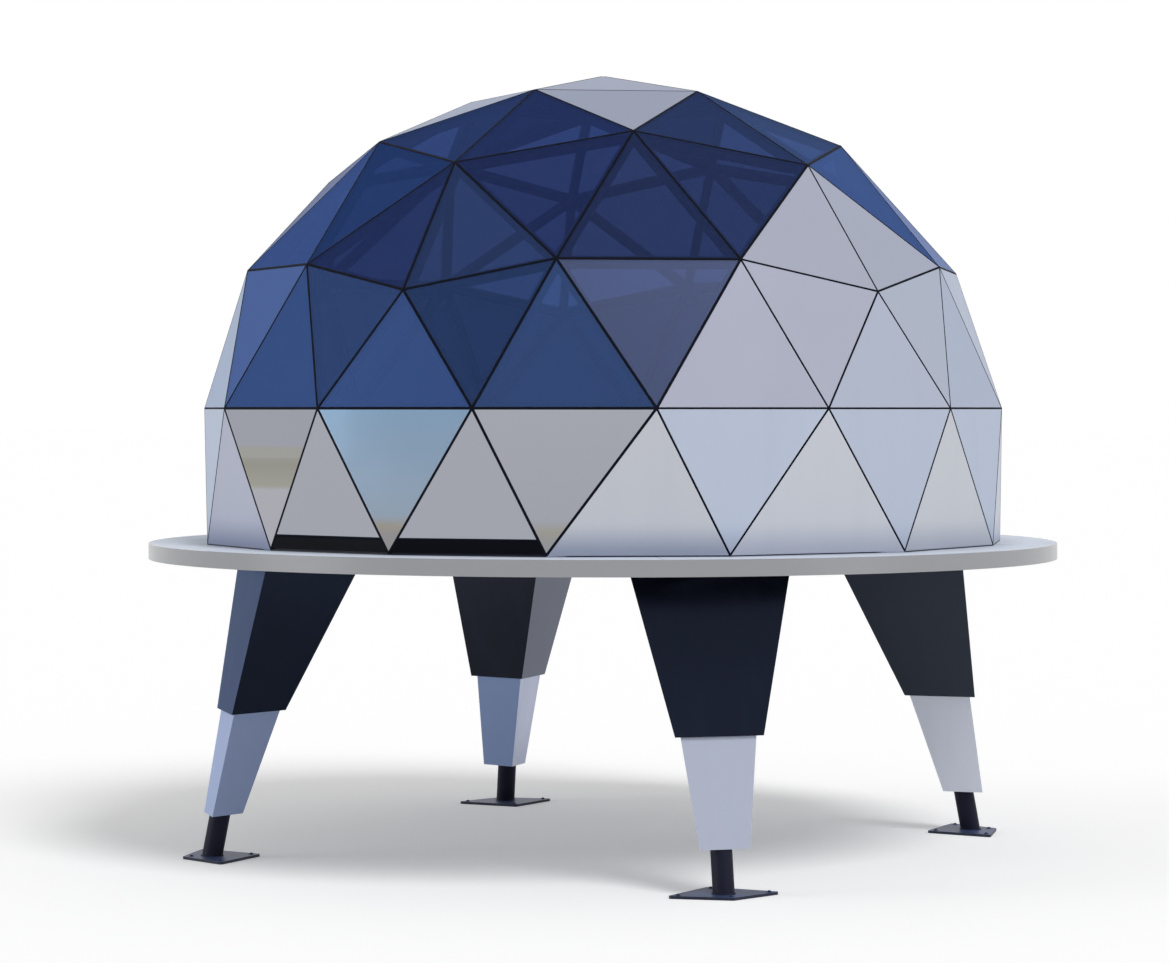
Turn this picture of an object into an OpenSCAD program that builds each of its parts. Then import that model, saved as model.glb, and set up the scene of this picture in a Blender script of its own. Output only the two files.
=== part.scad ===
// Geodesic dome pod: a faceted glass and white-panel dome on a round deck, carried on four
// flared three-sided legs.
//
// Millimetres, +Z up. The origin is on the ground, under the middle of the deck. The front
// is -Y: the glazed belt faces it. Azimuths count from the front, positive toward +X.
//
// The dome is a three-frequency icosahedral shell, cut below its belt. Every facet is a
// panel bedded on its own triangular frame, and each frame's sides lie in planes through
// the dome's hub point, so that neighbours meet along their whole edge.

/* [Dome] */
// Radius of the dome at its belt ring
dome_r = 3000; // [2400:50:3800]
// Height of the crown above the belt ring
dome_rise = 2505; // [2000:5:3200]
// Height of the belt ring above the dome's foot
wall_h = 990; // [800:5:1250]

/* [Dome rings] */
// First ring: radius as a share of the dome radius
ring1_reach = 0.340; // [0.320:0.005:0.360]
// First ring: height as a share of the rise
ring1_level = 0.928; // [0.920:0.002:0.940]
// Second ring, star points: radius share
star_reach = 0.602; // [0.590:0.002:0.620]
// Second ring, star points: height share
star_level = 0.780; // [0.765:0.005:0.790]
// Second ring, ridge nodes: radius share
ridge_reach = 0.713; // [0.700:0.001:0.725]
// Second ring, ridge nodes: height share
ridge_level = 0.690; // [0.675:0.005:0.700]
// Third ring, side nodes: radius share
side_reach = 0.893; // [0.880:0.001:0.905]
// Third ring, side nodes: height share
side_level = 0.407; // [0.395:0.001:0.420]
// Third ring, side nodes: azimuth away from the nearest ridge
side_azimuth = 22.3; // [21:0.1:24]
// Third ring, ridge ends: radius share
brow_reach = 0.938; // [0.925:0.001:0.950]
// Third ring, ridge ends: height share
brow_level = 0.325; // [0.310:0.001:0.340]
// Foot ring: degrees that four nodes each side of the front stand off an even spacing
foot_shift = [-2.2, -2.3, 1.4, 4]; // [-3:0.1:5]

/* [Panels] */
// Thickness of the white panels and of the glass
panel_t = 14; // [8:1:24]
// Joint between two glass panels
glass_joint = 18; // [8:1:30]
// Joint between two white panels
panel_joint = 12; // [6:1:30]
// Height of the black sill under the two front mirror panels
sill_h = 100; // [60:5:160]

/* [Panel frames] */
// Face width of one frame bar
bar_w = 34; // [24:1:50]
// Depth of a frame bar
bar_d = 60; // [35:1:90]
// Thickness of the sole ring, at its outer edge
sole_t = 10; // [5:1:30]

/* [Deck] */
// Width of the walkway that the deck leaves around the dome's belt
walkway_w = 400; // [150:10:1200]
// Thickness of the deck over all
deck_t = 115; // [90:5:200]
// Thickness of the floor
floor_t = 28; // [18:1:45]
// Thickness of the rim
rim_t = 20; // [8:1:40]
// Width of the deck's beams
beam_w = 90; // [60:5:140]
// Width of a joist
joist_w = 50; // [35:5:80]
// Spacing of the joists
joist_pitch = 480; // [350:10:700]

/* [Legs] */
// Height of the deck's underside above the ground
clear_h = 2175; // [1800:5:2700]
// Height of the bottom of the black sleeves
sleeve_z = 1070; // [850:10:1400]
// Height of the bottom of the white shrouds
shroud_z = 320; // [250:10:450]
// Lean of the legs' outer faces
leg_lean = 10.8; // [5:0.1:13]
// Distance from the deck's edge in to a shroud's foot, to its outer face
leg_inset = 400; // [150:5:800]
// Width of a leg's outer face at the top of the sleeve
sleeve_top_w = 1150; // [850:2:1350]
// Width of the outer face at the top of the shroud
shroud_top_w = 540; // [430:2:660]
// How much wider than two posts the outer face is at the bottom of the shroud
shroud_room = 55; // [50:5:150]
// Depth of a leg's section as a share of its width
section_ratio = 0.72; // [0.68:0.01:0.87]
// Step from the shroud out to the sleeve
sleeve_step = 24; // [10:1:40]
// Wall of the sleeves and shrouds
leg_wall = 8; // [4:1:12]
// Thickness of the plates across a leg
plate_t = 12; // [6:1:20]

/* [Feet] */
// Diameter of the posts
post_d = 150; // [110:2:190]
// Gap between a post and the shroud's outer wall
post_gap = 4; // [2:0.5:12]
// Width of a base plate over its side corners
base_w = 770; // [560:10:960]
// Distance from a post's axis out to the plate's outer corner
base_ahead = 215; // [150:5:320]
// Distance from a post's axis in to the plate's inner corner
base_behind = 350; // [250:5:450]
// Thickness of a base plate
base_t = 20; // [12:1:30]
// Corner radius of a base plate
base_corner = 22; // [10:1:40]

/* [Hidden] */
$fn = 160;

// Azimuths of the legs
front_right = 45;
back_right = 135;
back_left = 225;
front_left = 315;

white = "#b9bfce";
glass_blue = "#2b4080";
mirror_grey = "#a3a5ae";
soot_black = "#16192a";

// Running clearance between pieces that are bedded on each other
fit = 0.3;
// Room for cutting tools past a face
over = 1;

deck_r = dome_r + walkway_w;
deck_top = clear_h + deck_t;
foot_z = deck_top + sole_t;
belt_z = foot_z + wall_h;
sectors = 5;
sides = 3 * sectors;
sector = 360 / sectors;
step = 360 / sides;

// Depths from the outer face of the facets
frame_top = panel_t + fit;
frame_back = frame_top + bar_d;

// Point that every frame's sides aim at: about half-way up the wall
hub = [0, 0, foot_z + 0.45 * wall_h];

// ---- Nodes of the shell ----

// Point at a radius, a height and an azimuth counted from the front
function at(r, z, az) = [r * sin(az), -r * cos(az), z];
function shell_at(reach, level, az) = at(reach * dome_r, belt_z + level * dome_rise, az);

function crown() = shell_at(0, 1, 0);
function ring1(k) = shell_at(ring1_reach, ring1_level, sector * k);
function ring2(k) = k % 2 == 0
    ? shell_at(ridge_reach, ridge_level, sector / 2 * k)
    : shell_at(star_reach, star_level, sector / 2 * k);
function ring3(k) =
    let (turn = floor(k / 3) * sector, slot = k % 3)
    slot == 0 ? shell_at(brow_reach, brow_level, turn)
    : slot == 1 ? shell_at(side_reach, side_level, turn + side_azimuth)
    : shell_at(side_reach, side_level, turn + sector - side_azimuth);
function ring4(k) = at(dome_r, belt_z, step * (k + 0.5));
// The foot ring's nodes are closer together at the front and wider apart at the sides
function foot_azimuth(k) =
    let (turns = (k + floor(sides / 2)) % sides - floor(sides / 2), away = abs(turns))
    step * k + (away > 0 && away <= 4 ? sign(turns) * foot_shift[away - 1] : 0);
function ring5(k) = at(dome_r, foot_z, foot_azimuth(k));

// ---- Facets, as lists of corner triples ----

each_sector = [0 : sectors - 1];
each_side = [0 : sides - 1];

crown_facets = [for (k = each_sector) [crown(), ring1(k), ring1(k + 1)]];
star_facets = [for (k = each_sector) [ring1(k), ring2(2 * k + 1), ring1(k + 1)]];
upper_facets = [
    for (k = each_sector)
        each [
            [ring1(k), ring2(2 * k), ring2(2 * k + 1)],
            [ring1(k + 1), ring2(2 * k + 1), ring2(2 * k + 2)],
        ]
];
// The two facets under each ridge node, one in each neighbouring sector
ridge_facets = [
    for (k = each_sector)
        each [
            [ring2(2 * k), ring3(3 * k), ring3(3 * k + 1)],
            [ring2(2 * k + 2), ring3(3 * k + 2), ring3(3 * k + 3)],
        ]
];
valley_facets = [
    for (k = each_sector)
        each [
            [ring2(2 * k), ring3(3 * k + 1), ring2(2 * k + 1)],
            [ring2(2 * k + 1), ring3(3 * k + 1), ring3(3 * k + 2)],
            [ring2(2 * k + 1), ring3(3 * k + 2), ring2(2 * k + 2)],
        ]
];
belt_facets = [
    for (k = each_side)
        each [
            [ring3(k), ring4(k), ring3(k + 1)],
            [ring4(k), ring4(k + 1), ring3(k + 1)],
        ]
];
base_up_facets = [for (k = each_side) [ring5(k), ring5(k + 1), ring4(k)]];
base_down_facets = [for (k = each_side) [ring4(k), ring5(k + 1), ring4(k + 1)]];

// Angle of a facet's middle away from the front, 0 to 180
function middle(facet) = (facet[0] + facet[1] + facet[2]) / 3;
function off_front(facet) =
    let (m = middle(facet))
    acos(-m.y / norm([m.x, m.y]));
function within(facets, near, far) =
    [for (f = facets) if (off_front(f) >= near && off_front(f) < far) f];

// The glazed front reaches over three belt facets each side of the middle, the mirror
// glass over two, and a white peak climbs the ridge on each side
glazed_to = 1.75 * step;
mirror_to = 1.25 * step;
peak_from = 2.4 * step;
peak_to = 3.6 * step;

// ---- Facet geometry ----

function unit(v) = v / norm(v);
// Outward normal of a facet, whatever the order of its corners
function outward(facet) =
    let (n = unit(cross(facet[1] - facet[0], facet[2] - facet[0])))
    n * (middle(facet) - hub) > 0 ? n : -n;
// The same facet with its corners anticlockwise as seen from outside
function facing(facet) =
    cross(facet[1] - facet[0], facet[2] - facet[0]) * outward(facet) > 0
        ? facet
        : [facet[0], facet[2], facet[1]];
// Corner moved in so that both of its sides move in by a distance
function drawn_in(corner, next, last, d) =
    let (u = unit(next - corner), v = unit(last - corner))
    corner + (u + v) * d / norm(cross(u, v));
// Triangle drawn in by a distance and sunk to a depth below the outer face
function inner(facet, d, depth) =
    let (
        f = facing(facet),
        reach = outward(f) * (f[0] - hub),
        k = 1 - depth / reach
    )
    [for (i = [0 : 2]) hub + k * (drawn_in(f[i], f[(i + 1) % 3], f[(i + 2) % 3], d) - hub)];

// Solid between two depths of a facet, drawn in by a distance
module slab(facet, d, from, to) {
    polyhedron(
        points = concat(inner(facet, d, from), inner(facet, d, to)),
        faces = [[0, 2, 1], [3, 4, 5], for (i = [0 : 2]) let (j = (i + 1) % 3) each [
            [i, j, 3 + j],
            [i, 3 + j, 3 + i],
        ]]
    );
}

// Triangular frame behind a facet's panel
module frame(facet) {
    outer_top = inner(facet, fit, frame_top);
    outer_back = inner(facet, fit, frame_back);
    inner_top = inner(facet, bar_w, frame_top);
    inner_back = inner(facet, bar_w, frame_back);
    polyhedron(
        points = concat(outer_top, inner_top, inner_back, outer_back),
        faces = [
            for (ring = [0 : 3], i = [0 : 2])
                let (
                    a = 3 * ring + i,
                    b = 3 * ring + (i + 1) % 3,
                    c = 3 * ((ring + 1) % 4) + i,
                    e = 3 * ((ring + 1) % 4) + (i + 1) % 3
                )
                each [[a, c, b], [b, c, e]]
        ]
    );
}

module panels(facets, joint) {
    for (f = facets) slab(f, joint / 2, 0, panel_t);
}

module frames(facets) {
    for (f = facets) frame(f);
}

// Everything between two heights, well past the deck
module layer(low, high) {
    translate([-2 * deck_r, -2 * deck_r, low]) cube([4 * deck_r, 4 * deck_r, high - low]);
}

// ---- Dome ----

module star_panels() {
    color(white) panels(concat(crown_facets, star_facets), panel_joint);
}

module roof_glass_upper() {
    color(glass_blue, 0.7) panels(upper_facets, glass_joint);
}

module roof_glass_lower() {
    color(glass_blue, 0.7) {
        panels(valley_facets, glass_joint);
        panels(within(ridge_facets, 0, peak_from), glass_joint);
        panels(within(ridge_facets, peak_to, 180), glass_joint);
    }
}

module peak_panels() {
    color(white) panels(within(ridge_facets, peak_from, peak_to), panel_joint);
}

module belt_glass() {
    color(glass_blue, 0.7) panels(within(belt_facets, 0, glazed_to), glass_joint);
}

module belt_panels() {
    color(white) panels(within(belt_facets, glazed_to, 181), panel_joint);
}

// The upright mirror panels stand on the sills, a joint above them
module base_mirror_glass() {
    color(mirror_grey) {
        panels(within(base_down_facets, 0, mirror_to), glass_joint);
        intersection() {
            panels(within(base_up_facets, 0, mirror_to), glass_joint);
            layer(foot_z + sill_h + glass_joint / 2, belt_z);
        }
    }
}

module base_panels() {
    color(white) {
        panels(within(base_down_facets, mirror_to, 181), panel_joint);
        panels(within(base_up_facets, mirror_to, 181), panel_joint);
    }
}

module sill_strips() {
    color(soot_black) intersection() {
        panels(within(base_up_facets, 0, mirror_to), glass_joint);
        layer(foot_z, foot_z + sill_h - glass_joint / 2);
    }
}

module crown_frames() {
    color(soot_black) frames(crown_facets);
}

module upper_roof_frames() {
    color(soot_black) frames(concat(star_facets, upper_facets));
}

module lower_roof_frames() {
    color(soot_black) frames(concat(ridge_facets, valley_facets));
}

module belt_frames() {
    color(soot_black) frames(belt_facets);
}

module base_frames() {
    color(soot_black) frames(concat(base_up_facets, base_down_facets));
}

// Fifteen-sided ring on the deck. Its top slopes with the bottom faces of the frames.
module sole_ring() {
    inward = 1 - frame_back / (dome_r * cos(step / 2));
    top_out = [for (k = each_side) ring5(k) - [0, 0, fit]];
    top_in = [for (p = top_out) hub + inward * (p - hub)];
    low_out = [for (p = top_out) [p.x, p.y, deck_top]];
    low_in = [for (p = top_in) [p.x, p.y, deck_top]];
    color(soot_black) polyhedron(
        points = concat(top_out, top_in, low_in, low_out),
        faces = [
            for (ring = [0 : 3], i = each_side)
                let (
                    a = sides * ring + i,
                    b = sides * ring + (i + 1) % sides,
                    c = sides * ((ring + 1) % 4) + i,
                    e = sides * ((ring + 1) % 4) + (i + 1) % sides
                )
                each [[a, c, b], [b, c, e]]
        ]
    );
}

// ---- Deck ----

ring_lengths = 16;
rim_inner_r = deck_r - rim_t;
beam_top = deck_top - floor_t;
beam_d = beam_top - clear_h;
ring_beam_r = rim_inner_r - fit - beam_w;
// Middle of a leg's section under the deck, along X or Y
beam_at = (outer_face(clear_h) + sleeve_step - section_ratio * sleeve_top_w / 3) / sqrt(2);

module disc(r, z, h) {
    translate([0, 0, z]) cylinder(h = h, r = r, $fn = 480);
}

module deck_floor() {
    color(white) disc(rim_inner_r - fit, beam_top, floor_t);
}

module deck_rim() {
    color(white) difference() {
        disc(deck_r, clear_h, deck_t);
        disc(rim_inner_r, clear_h - over, deck_t + 2 * over);
    }
}

// The ring beam is rolled in lengths that butt against each other
module deck_ring_beam() {
    color(soot_black) difference() {
        disc(rim_inner_r - fit, clear_h, beam_d);
        disc(ring_beam_r, clear_h - over, beam_d + 2 * over);
        for (i = [0 : ring_lengths - 1])
            rotate([0, 0, 360 / ring_lengths * i])
                translate([ring_beam_r - over, -fit / 2, clear_h - over])
                    cube([beam_w + 2 * over, fit, beam_d + 2 * over]);
    }
}

// Two beams, side by side over the legs: along X, or turned to run front to back
module beam_pair(turn, room) {
    for (side = [-1, 1])
        rotate([0, 0, turn])
            translate([-deck_r, side * beam_at - beam_w / 2 - room, clear_h - room])
                cube([2 * deck_r, beam_w + 2 * room, beam_d + 2 * room]);
}

// One pair runs through, the other is cut to fit between and beyond it
module deck_main_beams() {
    color(soot_black) intersection() {
        union() {
            beam_pair(0, 0);
            difference() {
                beam_pair(90, 0);
                beam_pair(0, fit);
            }
        }
        disc(ring_beam_r - fit, clear_h, beam_d);
    }
}

// Joists run front to back between the beams, from one side of the ring to the other. A
// joist that would meet the side of a beam is left out.
module deck_joists() {
    rows = floor((ring_beam_r - joist_w) / joist_pitch);
    color(soot_black) difference() {
        intersection() {
            for (i = [-rows : rows])
                if (abs(abs(i) * joist_pitch - beam_at) > (beam_w + joist_w) / 2 + fit)
                    translate([i * joist_pitch - joist_w / 2, -deck_r, clear_h])
                        cube([joist_w, 2 * deck_r, beam_d]);
            disc(ring_beam_r - fit, clear_h, beam_d);
        }
        beam_pair(0, fit);
    }
}

// ---- Legs ----

// Distance of a shroud's outer face from the middle, at a height
function outer_face(z) = deck_r - leg_inset - (z - shroud_z) * tan(leg_lean);
// Width of the outer face of a shroud: at its foot, the three-sided section clears the post
shroud_foot_w = 2 * post_d + shroud_room;
function shroud_w(z) =
    shroud_foot_w + (shroud_top_w - shroud_foot_w) * (z - shroud_z) / (sleeve_z - shroud_z);
// Width that a triangle gains when all three sides move out by one
base_angle = atan(2 * section_ratio);
growth = 2 / tan(base_angle / 2);
sleeve_foot_w = shroud_top_w + growth * sleeve_step;
function sleeve_w(z) =
    sleeve_foot_w + (sleeve_top_w - sleeve_foot_w) * (z - sleeve_z) / (clear_h - sleeve_z);
// Middle of a post: just inside the shroud's outer face
function post_at(z) = outer_face(z) - leg_wall - post_gap - post_d / 2;

// Corners of a leg's section: the flat side outward, the ridge toward the middle
function section(face, w, z) = [
    [face, -w / 2, z],
    [face, w / 2, z],
    [face - section_ratio * w, 0, z],
];

// Tapered three-sided solid between two sections
module wedge(low, high) {
    polyhedron(
        points = concat(low, high),
        faces = [[0, 1, 2], [3, 5, 4], for (i = [0 : 2]) let (j = (i + 1) % 3) each [
            [i, 3 + j, j],
            [i, 3 + i, 3 + j],
        ]]
    );
}

// The leg's pieces are drawn with the outer face toward +X, then turned to their azimuth
module leg_turn(az) {
    rotate([0, 0, az - 90]) children();
}

// Leaning round bar along the post's axis, cut level at two heights
module post_bar(d, low, high) {
    intersection() {
        translate([post_at(0), 0, 0])
            rotate([0, -leg_lean, 0])
                translate([0, 0, -d]) cylinder(h = 2 * clear_h, d = d);
        layer(low, high);
    }
}

module sleeve_solid(inset, low, high) {
    shrink = growth * inset;
    wedge(
        section(outer_face(low) + sleeve_step - inset, sleeve_w(low) - shrink, low),
        section(outer_face(high) + sleeve_step - inset, sleeve_w(high) - shrink, high)
    );
}

module shroud_solid(inset, low, high) {
    shrink = growth * inset;
    wedge(
        section(outer_face(low) - inset, shroud_w(low) - shrink, low),
        section(outer_face(high) - inset, shroud_w(high) - shrink, high)
    );
}

// Black sleeve: closed on top under the deck, with a ledge at its foot around the post
module sleeve(az) {
    color(soot_black) leg_turn(az) difference() {
        sleeve_solid(0, sleeve_z, clear_h);
        sleeve_solid(leg_wall, sleeve_z + plate_t, clear_h - plate_t);
        post_bar(post_d + 2 * fit, sleeve_z - over, sleeve_z + plate_t + over);
    }
}

// White shroud: open on top under the sleeve's ledge, with a plate at its foot
module shroud(az) {
    color(white) leg_turn(az) difference() {
        shroud_solid(0, shroud_z, sleeve_z);
        shroud_solid(leg_wall, shroud_z + plate_t, sleeve_z + over);
        post_bar(post_d + 2 * fit, shroud_z - over, shroud_z + plate_t + over);
    }
}

module post(az) {
    color(soot_black) leg_turn(az) post_bar(post_d, base_t, clear_h - plate_t);
}

// Four-cornered plate, its side corners level with the post
module base(az) {
    seat = post_at(base_t);
    ahead = base_ahead - base_corner;
    behind = base_behind - base_corner;
    aside = base_w / 2 - base_corner;
    color(soot_black) leg_turn(az) hull()
        for (p = [[ahead, 0], [0, aside], [-behind, 0], [0, -aside]])
            translate([seat + p.x, p.y, 0]) cylinder(h = base_t, r = base_corner, $fn = 32);
}

star_panels();
roof_glass_upper();
roof_glass_lower();
peak_panels();
belt_glass();
belt_panels();
base_mirror_glass();
base_panels();
sill_strips();
crown_frames();
upper_roof_frames();
lower_roof_frames();
belt_frames();
base_frames();
sole_ring();
deck_floor();
deck_rim();
deck_ring_beam();
deck_main_beams();
deck_joists();
sleeve(front_right);  // sleeve_front_right
sleeve(back_right);  // sleeve_back_right
sleeve(back_left);  // sleeve_back_left
sleeve(front_left);  // sleeve_front_left
shroud(front_right);  // shroud_front_right
shroud(back_right);  // shroud_back_right
shroud(back_left);  // shroud_back_left
shroud(front_left);  // shroud_front_left
post(front_right);  // post_front_right
post(back_right);  // post_back_right
post(back_left);  // post_back_left
post(front_left);  // post_front_left
base(front_right);  // base_front_right
base(back_right);  // base_back_right
base(back_left);  // base_back_left
base(front_left);  // base_front_left
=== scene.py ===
"""Looks of the geodesic dome pod: its finishes, joint seals, foot flashing and fasteners.

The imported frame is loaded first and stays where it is. Every CAD node is dressed in the
finish that the real piece has, and small trim is built round it. Metres, +Z up, the front
toward -Y; azimuths count from the front, positive toward +X.
"""

from __future__ import annotations

import logging
import math
from abc import ABC, abstractmethod
from collections.abc import Callable, Iterable, Mapping, Sequence
from dataclasses import dataclass, replace
from enum import Enum
from functools import partial

import bpy
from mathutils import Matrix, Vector


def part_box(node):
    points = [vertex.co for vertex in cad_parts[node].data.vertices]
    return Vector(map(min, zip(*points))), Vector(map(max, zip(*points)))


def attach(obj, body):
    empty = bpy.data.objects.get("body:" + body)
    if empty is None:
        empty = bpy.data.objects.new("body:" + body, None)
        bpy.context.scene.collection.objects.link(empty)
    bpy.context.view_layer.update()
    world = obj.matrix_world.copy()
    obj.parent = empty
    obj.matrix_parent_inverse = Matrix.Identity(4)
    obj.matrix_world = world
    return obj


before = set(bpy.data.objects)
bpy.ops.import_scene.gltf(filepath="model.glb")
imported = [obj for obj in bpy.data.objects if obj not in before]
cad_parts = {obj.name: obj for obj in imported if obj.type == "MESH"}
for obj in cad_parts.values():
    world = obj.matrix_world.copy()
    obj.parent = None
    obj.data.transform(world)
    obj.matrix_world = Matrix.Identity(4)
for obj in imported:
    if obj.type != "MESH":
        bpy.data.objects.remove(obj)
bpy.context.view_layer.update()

LOG = logging.getLogger("dome_pod")
ROOT = "root"
MM_PER_METRE = 1000
NEAR = 1e-4  # Two places that lie this close, in metres, count as one

Node = bpy.types.Node
Tree = bpy.types.NodeTree
AddNode = Callable[..., Node]
Colour = tuple[float, float, float, float]
Edge = tuple[Vector, Vector]
Facet = tuple[Vector, Vector, Vector]
Feed = Node | bpy.types.NodeSocket
Tones = Sequence[tuple[float, str]]


# ---- Helpers ----


def linear(hex_colour: str) -> Colour:
    """Turn an sRGB hex colour into linear light.

    Args:
        hex_colour: Six hex digits after a hash, such as "#2b4080".

    Returns:
        Red, green, blue and an alpha of one.
    """
    shares = [int(hex_colour[i : i + 2], 16) / 255 for i in (1, 3, 5)]
    light = [s / 12.92 if s <= 0.04045 else ((s + 0.055) / 1.055) ** 2.4 for s in shares]
    return (light[0], light[1], light[2], 1.0)


def per_metre(size_mm: float) -> float:
    """Return the pattern scale whose features are that many millimetres across."""
    return MM_PER_METRE / size_mm


def add_node(
    tree: Tree,
    kind: str,
    inputs: Mapping[str | int, object] | None = None,
    stops: Tones = (),
    **settings: object,
) -> Node:
    """Add a node with its settings and links.

    Args:
        tree: The node tree that takes the node.
        kind: The node's type name. A shading node's goes without its ShaderNode, and a Mix
            node mixes colours.
        inputs: Input name or number to a value, to a hex colour, or to the socket or the
            node that feeds it. A node feeds it from its first output in use.
        stops: Positions and hex colours of a colour ramp's stops, in order.
        **settings: Properties of the node itself.

    Returns:
        The new node.
    """
    node = tree.nodes.new(kind if "Node" in kind else f"ShaderNode{kind}")
    if kind == "Mix":
        node.data_type = "RGBA"
    for name, value in settings.items():
        setattr(node, name, value)
    for key, value in (inputs or {}).items():
        in_use = [socket for socket in node.inputs if socket.enabled and socket.name == key]
        taker = in_use[0] if in_use else node.inputs[key]
        if isinstance(value, Node):
            value = next(socket for socket in value.outputs if socket.enabled)
        if isinstance(value, bpy.types.NodeSocket):
            tree.links.new(value, taker)
        else:
            taker.default_value = linear(value) if isinstance(value, str) else value
    if stops:
        elements = node.color_ramp.elements
        while len(elements) < len(stops):
            elements.new(1.0)
        for element, (position, tone) in zip(elements, stops, strict=True):
            element.position = position
            element.color = linear(tone)
    return node


def outward(add: AddNode, place: Feed) -> Node:
    """Find which way a panel faces, the same on its outer and its inner face.

    Args:
        add: Adds a node.
        place: The point of the surface.

    Returns:
        The panel's normal, away from the middle of the pod.
    """
    facing = add("NewGeometry").outputs["Normal"]
    out = add("VectorMath", {0: facing, 1: place}, operation="DOT_PRODUCT")
    side = add("Math", {0: out}, operation="SIGN")
    return add("VectorMath", {0: facing, "Scale": side}, operation="SCALE")


def azimuth_of(add: AddNode, way: Feed) -> Node:
    """Measure the azimuth of a point or a direction from the front.

    Args:
        add: Adds a node.
        way: The point or the direction.

    Returns:
        The azimuth in radians, positive toward +X.
    """
    parts = add("SeparateXYZ", {"Vector": way}).outputs
    ahead = add("Math", {0: parts["Y"], 1: -1.0}, operation="MULTIPLY")
    return add("Math", {0: parts["X"], 1: ahead}, operation="ARCTAN2")


def by_azimuth(
    add: AddNode, turn: Feed, tones: Sequence[tuple[float, str | Feed]]
) -> str | Feed:
    """Pick a tone by azimuth.

    Args:
        add: Adds a node.
        turn: The azimuth in radians.
        tones: The azimuth in degrees from which each tone holds, and the tone.

    Returns:
        The tone.
    """
    tone = tones[0][1]
    for start, other in tones[1:]:
        past = add("Math", {0: turn, 1: math.radians(start)}, operation="GREATER_THAN")
        tone = add("Mix", {"Factor": past, "A": tone, "B": other})
    return tone


def seen_rays(add: AddNode) -> Feed:
    """Tell the rays of the eye, of gloss and of glass from those that light the pod.

    Args:
        add: Adds a node.

    Returns:
        One where the eye ends up seeing the surface, and nought elsewhere.
    """
    path = add("LightPath").outputs
    seen = path["Is Camera Ray"]
    for ray in ("Is Glossy Ray", "Is Transmission Ray"):
        seen = add("Math", {0: seen, 1: path[ray]}, operation="MAXIMUM")
    return seen


def at(radius: float, height: float, azimuth: float) -> Vector:
    """Return the point at a radius, a height and an azimuth in degrees from the front."""
    turn = math.radians(azimuth)
    return Vector((radius * math.sin(turn), -radius * math.cos(turn), height))


def add_object(name: str, data: bpy.types.ID) -> bpy.types.Object:
    """Make an object and link it to the scene.

    Args:
        name: Name of the object.
        data: Its mesh, lamp or camera.

    Returns:
        The object.
    """
    made = bpy.data.objects.new(name, data)
    bpy.context.scene.collection.objects.link(made)
    return made


def build_trim(
    name: str,
    rows: Iterable[Sequence[Vector]],
    group: Tree,
    sizes: Mapping[str, object],
) -> None:
    """Run a Geometry Nodes tree on points or edges, and keep the plain mesh on the frame.

    Args:
        name: Name of the piece.
        rows: Single points, the two ends of lines, or the points round closed rings.
        group: The tree.
        sizes: Name of each of the tree's inputs to its value.
    """
    points: list[tuple[float, ...]] = []
    edges: list[tuple[int, int]] = []
    for row in rows:
        first, count = len(points), len(row)
        points += [tuple(p) for p in row]
        # Only a ring's last point is joined to its first
        joined = count if count > 2 else count - 1
        edges += [(first + i, first + (i + 1) % count) for i in range(joined)]
    mesh = bpy.data.meshes.new(name)
    mesh.from_pydata(points, edges, [])
    piece = add_object(name, mesh)
    modifier = piece.modifiers.new(group.name, "NODES")
    modifier.node_group = group
    for item in group.interface.items_tree:
        if item.in_out == "INPUT" and item.name in sizes:
            modifier[item.identifier] = sizes[item.name]
    graph = bpy.context.evaluated_depsgraph_get()
    mesh = bpy.data.meshes.new_from_object(piece.evaluated_get(graph), depsgraph=graph)
    piece.modifiers.clear()
    piece.data = mesh
    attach(piece, ROOT)
    LOG.info("%s: %d faces", name, len(mesh.polygons))


# ---- Finishes ----


class Finish(ABC):
    """A finish, which makes its own material."""

    name: str

    @abstractmethod
    def surface(self, add: AddNode) -> Node:
        """Build the finish's nodes.

        Args:
            add: Adds a node.

        Returns:
            The finish's shader.
        """

    def material(self) -> bpy.types.Material:
        """Make the finish's material on the first call, and find it again after that.

        Returns:
            The material.
        """
        made = bpy.data.materials.get(self.name)
        if made is None:
            made = bpy.data.materials.new(self.name)
            made.use_nodes = True
            made.node_tree.nodes.clear()
            add = partial(add_node, made.node_tree)
            add("OutputMaterial", {"Surface": self.surface(add)})
        return made

    def dress(self, *nodes: str) -> None:
        """Put the finish on every material slot of some CAD nodes.

        Args:
            *nodes: Names of the CAD nodes.
        """
        for name in nodes:
            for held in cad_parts[name].material_slots:
                held.material = self.material()
            LOG.info("%s: %s", name, self.name)


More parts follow.
